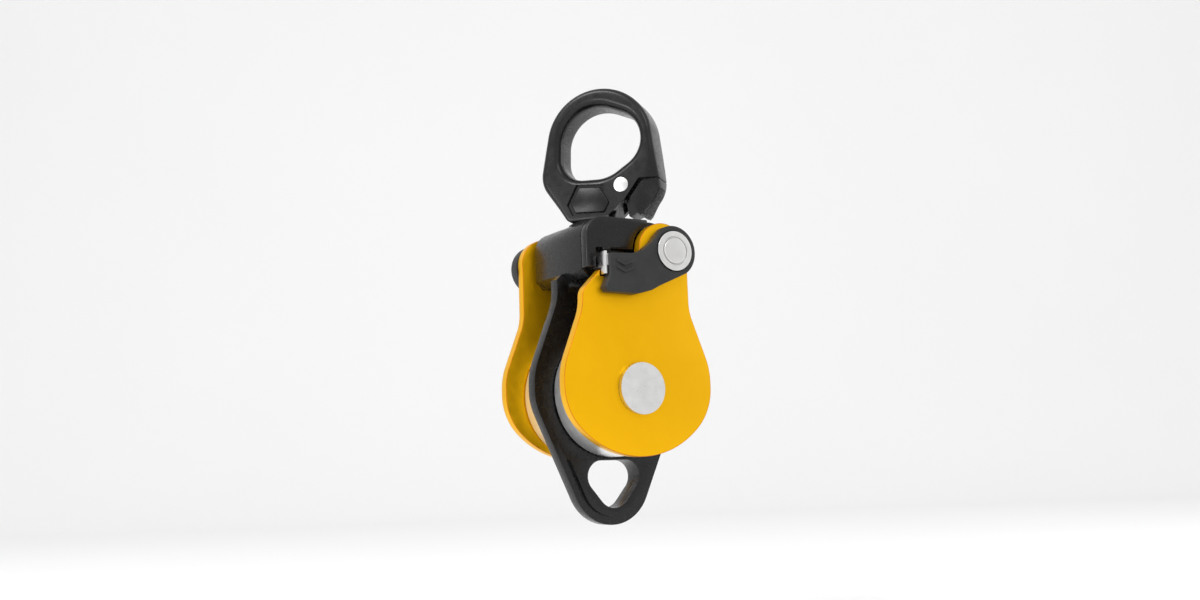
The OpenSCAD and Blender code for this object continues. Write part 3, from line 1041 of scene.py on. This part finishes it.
@dataclass
class Wheels:
    """The two grooved sheaves."""

    groove_r: float = 7.0
    tread_r: float = 20.0
    bore_r: float = 14.0
    lip_r: float = 12.6
    lip_half: float = 4.0
    channel: tuple[float, float] = (15.6, 18.8)
    channel_deep: float = 1.2
    rim_round: float = 0.5

    def profile(self, y_in: float, y_out: float, rim: float) -> Loop:
        """Section of one sheave.

        Args:
            y_in: Depth of the face at the centre plate.
            y_out: Depth of the outer face.
            rim: Radius over the flanges.

        Returns:
            Closed profile of (radius, depth) points.
        """
        mid = (y_in + y_out) / 2
        centre = self.tread_r + self.groove_r
        half = math.degrees(math.acos((centre - rim) / self.groove_r))
        groove = [(r, y) for y, r in arc((mid, centre), self.groove_r, -90.0 + half, -90.0 - half)]
        lip = -1.0 if y_out < y_in else 1.0
        seat = mid + lip * self.lip_half
        recess = self.channel_deep * -lip
        inner, outer = self.channel
        section = [
            (rim, y_out), (outer, y_out), (outer, y_out + recess), (inner, y_out + recess), (inner, y_out),
            (self.lip_r, y_out), (self.lip_r, seat), (self.bore_r, seat), (self.bore_r, y_in),
            (inner, y_in), (inner, y_in - recess), (outer, y_in - recess), (outer, y_in), (rim, y_in),
        ]
        ordered = groove if lip > 0 else list(reversed(groove))
        return rounded(section, self.rim_round, 3) + ordered[1:-1]

    def build(self, side: Side, axle_z: float) -> None:
        """Makes one sheave.

        Args:
            side: Front or rear.
            axle_z: Height of the axle.
        """
        node = f"{side.value}_sheave"
        low, high = span("front_sheave")
        profile = self.profile(high.y, low.y, (high.x - low.x) / 2)
        place = side.turn @ Matrix.Translation((0, 0, axle_z))
        obj = lathe(profile, f"{node}_piece", place, 128)
        finish = TurnedFinish(
            "turned_sheave", (0.84, 0.845, 0.85), (0.89, 0.89, 0.895), 0.85, 0.36,
            slot=Slot.BRIGHT, centre=(0.0, 0.0, axle_z * MM), pitch=0.35, ring_depth=0.0012,
        )
        dress(smooth(obj), finish)
        place_piece(obj, f"{side.value}_wheel", node)


@dataclass
class Latches:
    """The press-down levers with their raised chevrons, steel catches and bright rivets."""

    lever_x: float = 15.2
    lever_up: float = 53.9
    head_r: float = 10.2
    edge: float = 1.1
    rivet_r: float = 7.9
    rivet_ring_r: float = 5.3
    rivet_gap: float = 0.35
    rivet_thick: float = 1.8
    shank_r: float = 4.0
    chevron_drops: tuple[float, float] = (4.6, 7.2)

    def outline(self) -> Loop:
        """The lever's outline about the axle.

        Returns:
            Its points, anticlockwise.
        """
        pivot = (self.lever_x, self.lever_up)
        return arc(pivot, self.head_r, -58.0, 118.0) + offset(
            pivot, (-7.4, 6.3), (-9.8, 3.4), (-14.6, -0.4), (-19.4, -1.9), (-29.3, -2.3), (-30.0, -3.2),
            (-30.0, -10.9), (-32.2, -15.6), (-31.0, -17.4), (-17.7, -17.7), (-11.0, -16.0), (-7.3, -14.1),
        )

    def chevron(self, drop: float) -> Loop:
        """One chevron that points down.

        Args:
            drop: Height of its arms below the pivot.

        Returns:
            Its outline.
        """
        x, z = self.lever_x - 23.4, self.lever_up - drop
        half, dip, thick = 3.6, 1.6, 1.15
        return offset(
            (x, z), (-half, 0.0), (0.0, -dip), (half, 0.0), (half, -thick), (0.0, -dip - thick),
            (-half, -thick),
        )

    def build(self, side: Side, axle_z: float) -> None:
        """Makes one latch.

        Args:
            side: Front or rear.
            axle_z: Height of the axle.
        """
        name = side.value
        low, high = span("front_lever")
        place = side.turn @ Matrix.Translation((0, 0, axle_z))
        lever = prism(self.outline(), low.y, high.y, f"{name}_lever_piece", place)
        bevel(lever, self.edge, 4)
        sunk = arc((self.lever_x, self.lever_up), self.rivet_r + self.rivet_gap, 0.0, 357.0)
        cut(lever, [prism(sunk, low.y - 1, low.y + 1.2, "seat", place)])
        smooth(lever)
        dress(lever, DARK_PLASTIC)
        place_piece(lever, f"{name}_latch", f"{name}_lever")
        for i, drop in enumerate(self.chevron_drops, start=1):
            mark = prism(self.chevron(drop), low.y - 0.7, low.y + 0.5, f"{name}_chevron_{i}", place)
            bevel(mark, 0.3, 2)
            dress(mark, DARK_PLASTIC)
            place_piece(mark, f"{name}_latch")
        catch = copy_of(f"{name}_catch", f"{name}_catch_piece")
        bevel(catch, 0.15, 2)
        dress(catch, BRIGHT_STEEL)
        place_piece(catch, f"{name}_latch", f"{name}_catch")
        self.rivet(side, axle_z)

    def rivet(self, side: Side, axle_z: float) -> None:
        """Makes one lever's rivet with the turned ring on its head.

        Args:
            side: Front or rear.
            axle_z: Height of the axle.
        """
        name = side.value
        low, high = span("front_lever_rivet")
        face, inner = low.y, high.y
        r, ring = self.rivet_r, self.rivet_ring_r
        back, groove = face + self.rivet_thick, face + 0.75
        profile = rounded([
            (0.0, face - 0.1), (ring - 0.25, face - 0.1), (ring, groove), (ring + 0.3, groove),
            (ring + 0.5, face + 0.05), (r, face + 0.1), (r, back), (self.shank_r, back),
            (self.shank_r, inner), (0.0, inner),
        ], 0.2)
        place = side.turn @ Matrix.Translation((self.lever_x, 0, axle_z + self.lever_up))
        obj = lathe(profile, f"{name}_lever_rivet_piece", place)
        centre = side.turn @ Vector((self.lever_x, face, axle_z + self.lever_up)) * MM
        finish = TurnedFinish(
            f"turned_{name}_rivet", (0.64, 0.635, 0.625), (0.72, 0.715, 0.705), 1.0, 0.36,
            slot=Slot.BRIGHT_STEEL, centre=tuple(centre),
        )
        dress(smooth(obj), finish)
        place_piece(obj, f"{name}_plate", f"{name}_lever_rivet")


@dataclass
class SwivelEye:
    """The swivel's eye, its badge, gate and rivet.

    Outlines are in the eye's own plane: x across it and height above the sheaves' axle.
    """

    turn: float = -50.0
    eye_up: float = 102.3
    base_up: float = 69.9
    half: float = 8.0
    hole_half: float = 5.2
    cheek_in: float = 5.2
    rivet_x: float = 12.3
    rivet_up: float = 83.2
    rivet_r: float = 3.1
    hub_r: float = 6.2
    gate_r: float = 15.6
    heel_r: float = 13.0
    gap: float = 0.15
    gate_from: float = -60.0
    gate_to: float = 5.0
    heel: tuple[float, float] = (-80.0, -64.0)
    room: tuple[float, float] = (-107.0, 6.0)
    badge_deep: float = 1.1
    badge_inset: float = 1.5
    outer: float = 2.2
    steps: int = 420

    def outside(self) -> Loop:
        """Silhouette of the eye and its base.

        Returns:
            Its outline.
        """
        z = self.base_up
        return wrap((
            ((3.2, self.eye_up), 22.5), ((-10.0, z + 20.0), 12.0), ((15.6, z + 14.4), 12.4),
            ((-9.2, z + 3.0), 3.0), ((17.5, z + 5.4), 5.4),
        ))

    def hole(self) -> Loop:
        """Outline of the eye's hole."""
        up = self.eye_up
        return wrap((((2.0, up), 15.1), ((8.2, up + 0.5), 12.2), ((-4.0, up - 5.6), 9.3)))

    def slanting(self) -> Loop:
        """Corners of the slanting edge at the face's lower right, from the bottom up."""
        return offset((0.0, self.base_up), (6.8, 1.4), (13.4, 7.0), (19.8, 15.3), (23.4, 21.5))

    def face(self) -> Loop:
        """The flat front face, bounded at the lower right by the slanting edge.

        Returns:
            Its outline.
        """
        z = self.base_up
        rounds = (
            ((3.2, self.eye_up), 22.5 - self.outer), ((-10.0, z + 20.0), 12.0 - self.outer),
            ((-9.2, z + 3.0), 1.6),
        )
        return wrap(rounds, [(24.2, z + 27), *self.slanting()])

    def section(self, width: float, inset: float, flat: float) -> list[tuple[float, float]]:
        """Section of the eye from the hole out.

        Args:
            width: Its width.
            inset: How far the flat face ends inside the outer edge.
            flat: 1 where the outer edge stays square, as at the base, and 0 where it is round.

        Returns:
            Closed loop of (distance from the hole, depth) points.
        """
        inner = min(3.0, 0.5 * width)
        outer = min(inset, width - inner - 0.2)
        fall = (self.outer + 0.25 * max(0.0, inset - self.outer)) * (1 - flat) + 0.5 * flat
        front = []
        for i in range(9):
            a = math.pi / 2 * i / 8
            front.append((inner * (1 - math.cos(a)), self.hole_half - 1.2
                          + (self.half - self.hole_half + 1.2) * math.sin(a)))
        for i in range(9):
            a = math.pi / 2 * i / 8
            front.append((width - outer * (1 - math.sin(a)), self.half - fall * (1 - math.cos(a))))
        return [(d, -y) for d, y in front] + [(d, y) for d, y in reversed(front)]

    def shell(self, name: str, place: Matrix) -> bpy.types.Object:
        """The whole rounded eye and base as one closed solid.

        Args:
            name: The object's name.
            place: Where it goes, in millimetres.

        Returns:
            The solid.
        """
        outside, hole, face = self.outside(), self.hole(), self.face()
        centre = (2.5, self.eye_up)

        def build(bm: bmesh.types.BMesh) -> None:
            """Fills the mesh.

        Args:
            bm: The mesh, in millimetres.
        """
            rings = []
            for i in range(self.steps):
                a = TAU * i / self.steps
                r_in, r_out, r_face = (reach(loop, centre, a) for loop in (hole, outside, face))
                height = centre[1] + r_out * math.sin(a)
                flat = min(1.0, max(0.0, (self.base_up + 6.0 - height) / 6.0))
                ring = []
                for d, y in self.section(r_out - r_in, r_out - r_face, flat):
                    r = r_in + d
                    ring.append(bm.verts.new((centre[0] + r * math.cos(a), y, centre[1] + r * math.sin(a))))
                rings.append(ring)
            for low, high in zip(rings, rings[1:] + rings[:1]):
                for j in range(len(low)):
                    k = (j + 1) % len(low)
                    bm.faces.new((low[j], low[k], high[k], high[j]))

        return solid(build, name, place)

    def sector(self, start: float, end: float, radius: float) -> Loop:
        """A sector about the rivet.

        Args:
            start: Its first angle in degrees.
            end: Its last angle in degrees.
            radius: Its radius.

        Returns:
            Its outline, from the rivet round.
        """
        centre = (self.rivet_x, self.rivet_up)
        return [centre] + arc(centre, radius, start, end)

    def slant(self, shift: float, top: float) -> Loop:
        """Region right of the slanting edge, up to a height.

        Args:
            shift: How far right of the edge it starts.
            top: Its upper end above the base.

        Returns:
            Its outline.
        """
        z, wide, deep = self.base_up, 60.0, 30.0
        edge = [(self.slanting()[0][0], z - deep), *self.slanting()]
        kept = [(x + shift, h) for x, h in edge if h <= z + top]
        return [(wide, z - deep), (wide, kept[-1][1]), *reversed(kept)]

    def badge(self, inset: float) -> Loop:
        """The blank six-sided badge on the base's front.

        Args:
            inset: How far each corner is moved towards the middle.

        Returns:
            Its outline.
        """
        z = self.base_up
        corners = offset(
            (0.0, z), (-6.7, 15.2), (4.5, 14.3), (8.3, 6.4), (5.7, 1.8), (-8.9, 2.6), (-11.0, 7.1),
        )
        middle = Vector((-1.4, z + 8.2))
        made = []
        for corner in corners:
            gap = Vector(corner) - middle
            q = middle + gap * (1 - inset / gap.length)
            made.append((q.x, q.y))
        return made

    def build(self, axle_z: float) -> None:
        """Makes the swivel.

        Args:
            axle_z: Height of the axle.
        """
        place = Matrix.Rotation(math.radians(self.turn), 4, "Z") @ Matrix.Translation((0, 0, axle_z))
        body = self.shell("swivel_eye_piece", place)
        inside, deep, lap = self.cheek_in, 30.0, 0.1
        hub = arc((self.rivet_x, self.rivet_up), self.hub_r + 0.35, 0.0, 357.0)
        below = self.rivet_up - self.base_up + 2.2
        cut(body, [
            prism(self.badge(0.0), -deep, -self.half + self.badge_deep, "badge", place),
            prism(self.sector(*self.room, 60.0), -inside, inside, "room", place),
            prism(hub, -inside + 0.03, inside - 0.03, "hub", place),
            prism(self.slant(0.0, below), -deep, -inside + lap, "front_face", place),
            prism(self.slant(0.0, below), inside - lap, deep, "rear_face", place),
        ])
        dress(body, BLACK)
        smooth(body, math.radians(40))
        place_piece(body, "swivel", "swivel_body")
        front = -self.half + 0.35
        plate = prism(self.badge(self.badge_inset), front, -self.half + 1.6, "swivel_badge", place)
        bevel(plate, 0.5, 3)
        dress(plate, BLACK)
        place_piece(plate, "swivel")
        self.gate(place)
        self.rivet(place, axle_z)

    def gate(self, place: Matrix) -> None:
        """Makes the gate: a leaf between the cheeks and a full-width chin beyond them.

        Args:
            place: Where the eye goes, in millimetres.
        """
        inside, deep = self.cheek_in - self.gap, 30.0
        for name, trim, depth in (("swivel_gate_piece", 0.0, inside), ("swivel_gate_chin", self.gap, deep)):
            part = self.shell(name, place)
            keep = self.sector(self.gate_from + trim, self.gate_to - 2 * trim, self.gate_r - trim)
            if depth == inside:
                keep = self.sector(*self.heel, self.heel_r) + keep[1:]
            cut(part, [prism(keep, -depth, depth, "gate_keep", place)], "INTERSECT")
            if depth == deep:
                cut(part, [prism(self.slant(2.2, 30.0), -deep, deep, "chin_keep", place)], "INTERSECT")
            dress(part, BLACK)
            smooth(part, math.radians(40))
            place_piece(part, "gate", *(["swivel_gate"] if depth == inside else []))
        hub = arc((self.rivet_x, self.rivet_up), self.hub_r, 0.0, 357.0)
        barrel = prism(hub, -inside, inside, "gate_hub", place)
        dress(smooth(barrel), BLACK)
        place_piece(barrel, "gate")

    def rivet(self, place: Matrix, axle_z: float) -> None:
        """Makes the gate's bright rivet.

        Args:
            place: Where the eye goes, in millimetres.
            axle_z: Height of the axle.
        """
        end = self.half + 0.25
        r = self.rivet_r
        profile = rounded([(0.0, -end - 0.15), (r, -end + 0.1), (r, end - 0.1), (0.0, end + 0.15)], 0.3)
        spot = place @ Matrix.Translation((self.rivet_x, 0, self.rivet_up))
        obj = lathe(profile, "gate_rivet_piece", spot, 64)
        dress(smooth(obj), BRIGHT_STEEL)
        place_piece(obj, "swivel", "gate_rivet")


@dataclass
class Collar:
    """The dark knurled collar between the head and the eye."""

    teeth: int = 60
    tooth: float = 0.9

    def build(self) -> None:
        """Makes the collar and its knurl."""
        low, high = span("bearing_collar")
        r = (high.x - low.x) / 2
        seal_low, seal_high = span("stud_seal")
        bore = (seal_high.x - seal_low.x) / 2
        base, skirt_r = low.z + 2, r - 0.5
        profile = rounded([
            (bore, base), (skirt_r, base), (skirt_r, high.z - 0.3), (r - 1.2, high.z), (bore, high.z),
        ], 0.25)
        upright = Matrix.Rotation(math.radians(90), 4, "X")
        collar = lathe(profile, "collar_piece", upright, 96)
        dress(smooth(collar), BLACK)
        place_piece(collar, "frame", "bearing_collar")
        half = self.tooth / 2
        shape = [(-0.6, 0.0), (0.45, 0.0), (0.45, 1.6), (-0.6, 1.9)]
        tooth = prism(shape, -half * 0.5, half * 0.5, "tooth", Matrix())
        knurl = ring_array(BLACK).run(
            "collar_knurl", tooth, Count=self.teeth, Radius=(r - 0.45) * MM, Height=(high.z - 2.1) * MM,
        )
        dress(smooth(knurl), BLACK)
        place_piece(knurl, "frame")


@dataclass
class Springs:
    """The levers' wire springs, wound round their rivets."""

    turns: float = 2.4
    wire: float = 0.4

    def build(self, side: Side) -> None:
        """Makes one spring.

        Args:
            side: Front or rear.
        """
        node = f"{side.value}_lever_spring"
        low, high = span(node)
        seed = prism([(0.0, 0.0), (1.0, 0.0), (0.0, 1.0)], 0.0, 1.0, "seed", Matrix())
        spring = coil(STEEL).run(
            f"{node}_piece", seed, Turns=self.turns, Radius=((high.x - low.x) / 2 - self.wire) * MM,
            Length=(high.y - low.y - 2 * self.wire) * MM, Wire=self.wire * MM,
        )
        middle = (low + high) / 2
        lay = Matrix.Translation(Vector((middle.x, low.y + self.wire, middle.z)) * MM) @ Matrix.Rotation(
            math.radians(-90), 4, "X"
        )
        spring.data.transform(lay)
        dress(smooth(spring), STEEL)
        place_piece(spring, f"{side.value}_plate", node)


@dataclass
class Inside:
    """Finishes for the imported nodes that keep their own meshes."""

    finishes: dict[Slot, Finish] = field(default_factory=lambda: {
        Slot.BLACK: BLACK, Slot.STEEL: STEEL, Slot.BRIGHT_STEEL: BRIGHT_STEEL, Slot.RUBBER: RUBBER,
        Slot.BRIGHT: BRIGHT_STEEL, Slot.YELLOW: YELLOW, Slot.PLASTIC: DARK_PLASTIC,
    })

    def build(self) -> None:
        """Dresses every node that is still shown."""
        slots = {row["node"]: Slot(row["material_slot"]) for row in frame["record"]["subparts"]}
        for node, obj in frame["nodes"].items():
            if obj.hide_render:
                continue
            finish = self.finishes[slots[node]].material()
            if not obj.material_slots:
                obj.data.materials.append(finish)
            for place in obj.material_slots:
                place.material = finish
            LOG.info("%s keeps its packed mesh", node)


# ---------------------------------------------------------------- studio


@dataclass
class Studio:
    """Pale floor, soft light and the camera."""

    focal: float = 36.78
    yaw: float = 31.43
    pitch: float = 8.15
    roll: float = -2.02
    eye: tuple[float, float, float] = (-258.2, -420.9, -134.9)
    drop: float = 45.0

    def floor(self) -> None:
        """Makes the floor with its curved back wall."""
        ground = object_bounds()[0].z / MM - self.drop
        back, bend, wide = 1500.0, 500.0, 3000.0
        path = [(-2500.0, ground), (back, ground)]
        path += [(back + bend * math.sin(a), ground + bend * (1 - math.cos(a)))
                 for a in (math.pi / 2 * i / 24 for i in range(1, 25))]
        path.append((back + bend, ground + 2600.0))

        def build(bm: bmesh.types.BMesh) -> None:
            """Fills the mesh.

        Args:
            bm: The mesh, in millimetres.
        """
            rows = [[bm.verts.new((x, y, z)) for y, z in path] for x in (-wide, wide)]
            for i in range(len(path) - 1):
                bm.faces.new((rows[0][i], rows[1][i], rows[1][i + 1], rows[0][i + 1]))

        turn = Matrix.Rotation(math.radians(-self.yaw), 4, "Z")
        obj = smooth(solid(build, "floor", turn))
        graph = Graph("floor")
        tint = graph.noise(2.0, 2.0, graph.place)
        graph.join(graph.mix(tint, (0.90, 0.90, 0.90), (0.93, 0.93, 0.93)), graph.shader.inputs["Base Color"])
        graph.shader.inputs["Roughness"].default_value = 0.9
        obj.data.materials.append(graph.material)
        obj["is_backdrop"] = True

    def lamp(self, name: str, spot: Point, height: float, size: float, power: float) -> None:
        """Adds one soft square lamp aimed at the pulley.

        Args:
            name: The lamp's name.
            spot: Its place, in metres, across and along.
            height: Its height in metres.
            size: Its width in metres.
            power: Its power in watts.
        """
        light = bpy.data.lights.new(name, "AREA")
        light.size = size
        light.energy = power
        obj = add_object(name, light)
        obj.location = (*spot, height)
        target = Vector((0, 0, -0.09))
        obj.rotation_euler = (target - obj.location).to_track_quat("-Z", "Y").to_euler()

    def lights(self) -> None:
        """Adds the lamps and the pale surroundings."""
        self.lamp("key", (-0.9, -0.25), 0.8, 0.5, 7.0)
        self.lamp("fill", (0.95, -0.3), 0.3, 0.5, 1.2)
        self.lamp("front", (-0.1, -1.2), 0.9, 0.5, 3.4)
        self.lamp("side", (-1.1, -0.2), -0.15, 0.5, 4.5)
        world = bpy.data.worlds.new("surroundings")
        world.use_nodes = True
        tree = world.node_tree
        tree.nodes["Background"].inputs["Color"].default_value = (1.0, 1.0, 1.0, 1.0)
        tree.nodes["Background"].inputs["Strength"].default_value = 0.88
        bpy.context.scene.world = world
        bpy.context.scene.view_settings.view_transform = "Standard"

    def camera(self) -> None:
        """Adds the camera."""
        yaw, pitch, roll = (math.radians(v) for v in (self.yaw, self.pitch, self.roll))
        ahead = Vector((math.sin(yaw) * math.cos(pitch), math.cos(yaw) * math.cos(pitch), math.sin(pitch)))
        right = Vector((math.cos(yaw), -math.sin(yaw), 0.0))
        up = right.cross(ahead)
        turned = right * math.cos(roll) + up * math.sin(roll)
        upright = up * math.cos(roll) - right * math.sin(roll)
        axes = Matrix((turned, upright, -ahead)).transposed().to_4x4()
        data = bpy.data.cameras.new("camera")
        data.sensor_width = 36.0
        data.lens = self.focal
        data.clip_start = 0.01
        obj = add_object("camera", data)
        obj.matrix_world = Matrix.Translation(Vector(self.eye) * MM) @ axes
        bpy.context.scene.camera = obj

    def build(self) -> None:
        """Sets up the studio."""
        self.floor()
        self.lights()
        self.camera()


def keep_sizes() -> None:
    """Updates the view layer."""
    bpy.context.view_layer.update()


def main() -> None:
    """Builds the pulley's pieces in order, then the studio."""
    logging.basicConfig(level=logging.INFO, format="%(name)s: %(message)s")
    low, high = span("axle")
    axle_z = (low.z + high.z) / 2
    plate_low, plate_high = span("front_side_plate")
    shape = PlateShape(half_width=(plate_high.x - plate_low.x) / 2, low=axle_z - plate_low.z)
    SwivelEye().build(axle_z)
    Collar().build()
    MainFrame().build()
    Axle().build(axle_z)
    plates, wheels, latches, springs = SidePlates(), Wheels(), Latches(), Springs()
    for side in Side:
        plates.build(side, axle_z, shape)
        wheels.build(side, axle_z)
        latches.build(side, axle_z)
        springs.build(side)
    Inside().build()
    keep_sizes()
    Studio().build()


if __name__ == "__main__":
    main()
